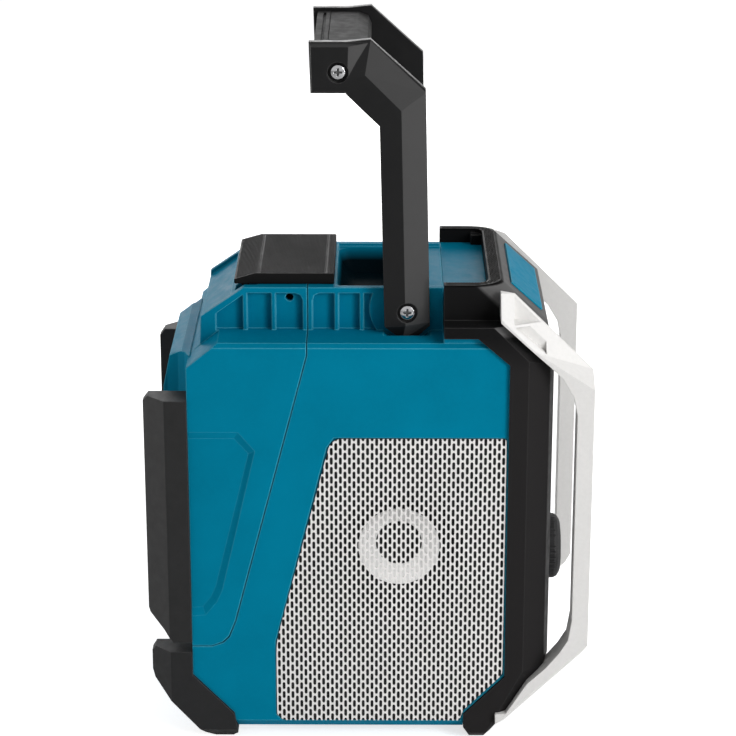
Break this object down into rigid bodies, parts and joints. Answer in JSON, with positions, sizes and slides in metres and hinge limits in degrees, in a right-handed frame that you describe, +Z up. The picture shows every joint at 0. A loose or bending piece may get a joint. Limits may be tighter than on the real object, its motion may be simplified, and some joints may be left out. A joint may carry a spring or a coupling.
{
  "type": "jobsite radio",
  "caption": "Tall portable site radio with a folding carry handle, guard bars, side speaker grilles, a front dial and buttons, and a latched rear battery cover.",
  "frame": {"origin": "centre of the bounding box in plan, on the ground plane under the feet", "axes": "+Z up, -Y out of the control front, +X to the right seen from the front"},
  "size_m": [0.163, 0.268, 0.4335],
  "materials": {
    "blue_shell": "moulded, fine satin texture",
    "black_shell": "moulded, satin",
    "dark_plastic": "moulded, matt",
    "black_rubber": "soft, matt",
    "ivory_shell": "moulded, satin",
    "grille_paint": "pale powder coat on punched sheet",
    "display_glass": "clear, dark behind",
    "steel": "zinc plated",
    "board": "green board lacquer",
    "speaker_metal": "black, plain",
    "cone": "pale pressed cone in a dark surround",
    "button_plastic": "moulded, satin"
  },
  "bodies": {
    "root": {"housing": "blue_shell", "battery_bay": "dark_plastic", "front_frame": "black_shell", "top_tray": "blue_shell", "front_panel": "dark_plastic", "label_plate": "blue_shell", "display_lens": "display_glass", "display_module": "steel", "control_board": "board", "dome_switches": "steel", "encoder": "steel", "main_board": "board", "guard_left": "ivory_shell", "guard_right": "ivory_shell", "guard_screws": "steel", "grille_left": "grille_paint", "grille_right": "grille_paint", "speaker_frame_left": "speaker_metal", "speaker_frame_right": "speaker_metal", "speaker_cone_left": "cone", "speaker_cone_right": "cone", "speaker_magnets": "speaker_metal", "rear_foot_left": "black_rubber", "rear_foot_right": "black_rubber", "casing_screws": "steel", "pivot_screws": "steel", "dc_socket": "dark_plastic", "usb_socket": "steel", "battery_terminals": "dark_plastic", "hinge_pin": "steel", "hinge_brackets": "dark_plastic", "grille_foam_left": "black_rubber", "grille_foam_right": "black_rubber"},
    "battery_cover": {"rear_cover": "blue_shell", "cover_seal": "black_rubber", "bumper_left": "black_rubber", "bumper_right": "black_rubber", "bumper_screws": "steel", "latch_pin": "steel"},
    "latch": {"latch": "black_shell", "latch_pad": "black_rubber"},
    "handle": {"handle_arm_left": "black_shell", "handle_arm_right": "black_shell", "handle_grip": "black_shell", "grip_pad": "black_rubber", "grip_screws": "steel", "pivot_bushes": "steel"},
    "dial": {"dial": "black_rubber", "dial_shaft": "steel"},
    "preset_1": {"preset_1": "button_plastic"},
    "preset_2": {"preset_2": "button_plastic"},
    "preset_3": {"preset_3": "button_plastic"},
    "preset_4": {"preset_4": "button_plastic"},
    "preset_5": {"preset_5": "button_plastic"},
    "power_button": {"power_button": "button_plastic"},
    "source_button": {"source_button": "button_plastic"},
    "menu_button": {"menu_button": "button_plastic"},
    "mute_button": {"mute_button": "button_plastic"},
    "socket_flap": {"socket_flap": "black_rubber"}
  },
  "joints": [
    {"name": "handle_fold", "type": "hinge", "parent": "root", "child": "handle", "pos_m": [0, -0.0235, 0.2705], "axis": [-1, 0, 0], "range_deg": [0, 78]},
    {"name": "cover_hinge", "type": "hinge", "parent": "root", "child": "battery_cover", "pos_m": [0, 0.119, 0.0625], "axis": [-1, 0, 0], "range_deg": [0, 70]},
    {"name": "latch_lift", "type": "hinge", "parent": "battery_cover", "child": "latch", "pos_m": [0, 0.073, 0.2849], "axis": [-1, 0, 0], "range_deg": [0, 50]},
    {"name": "dial_turn", "type": "hinge", "parent": "root", "child": "dial", "pos_m": [0, -0.108, 0.0975], "axis": [0, -1, 0], "continuous": true},
    {"name": "preset_1_press", "type": "slide", "parent": "root", "child": "preset_1", "axis": [0, 1, 0], "range_m": [0, 0.001], "stiffness_N_per_m": 400},
    {"name": "preset_2_press", "type": "slide", "parent": "root", "child": "preset_2", "axis": [0, 1, 0], "range_m": [0, 0.001], "stiffness_N_per_m": 400},
    {"name": "preset_3_press", "type": "slide", "parent": "root", "child": "preset_3", "axis": [0, 1, 0], "range_m": [0, 0.001], "stiffness_N_per_m": 400},
    {"name": "preset_4_press", "type": "slide", "parent": "root", "child": "preset_4", "axis": [0, 1, 0], "range_m": [0, 0.001], "stiffness_N_per_m": 400},
    {"name": "preset_5_press", "type": "slide", "parent": "root", "child": "preset_5", "axis": [0, 1, 0], "range_m": [0, 0.001], "stiffness_N_per_m": 400},
    {"name": "power_button_press", "type": "slide", "parent": "root", "child": "power_button", "axis": [0, 1, 0], "range_m": [0, 0.001], "stiffness_N_per_m": 400},
    {"name": "source_button_press", "type": "slide", "parent": "root", "child": "source_button", "axis": [0, 1, 0], "range_m": [0, 0.001], "stiffness_N_per_m": 400},
    {"name": "menu_button_press", "type": "slide", "parent": "root", "child": "menu_button", "axis": [0, 1, 0], "range_m": [0, 0.001], "stiffness_N_per_m": 400},
    {"name": "mute_button_press", "type": "slide", "parent": "root", "child": "mute_button", "axis": [0, 1, 0], "range_m": [0, 0.001], "stiffness_N_per_m": 400},
    {"name": "flap_lift", "type": "hinge", "parent": "root", "child": "socket_flap", "pos_m": [0, 0.1094, 0.0594], "axis": [1, 0, 0], "range_deg": [0, 100]}
  ]
}
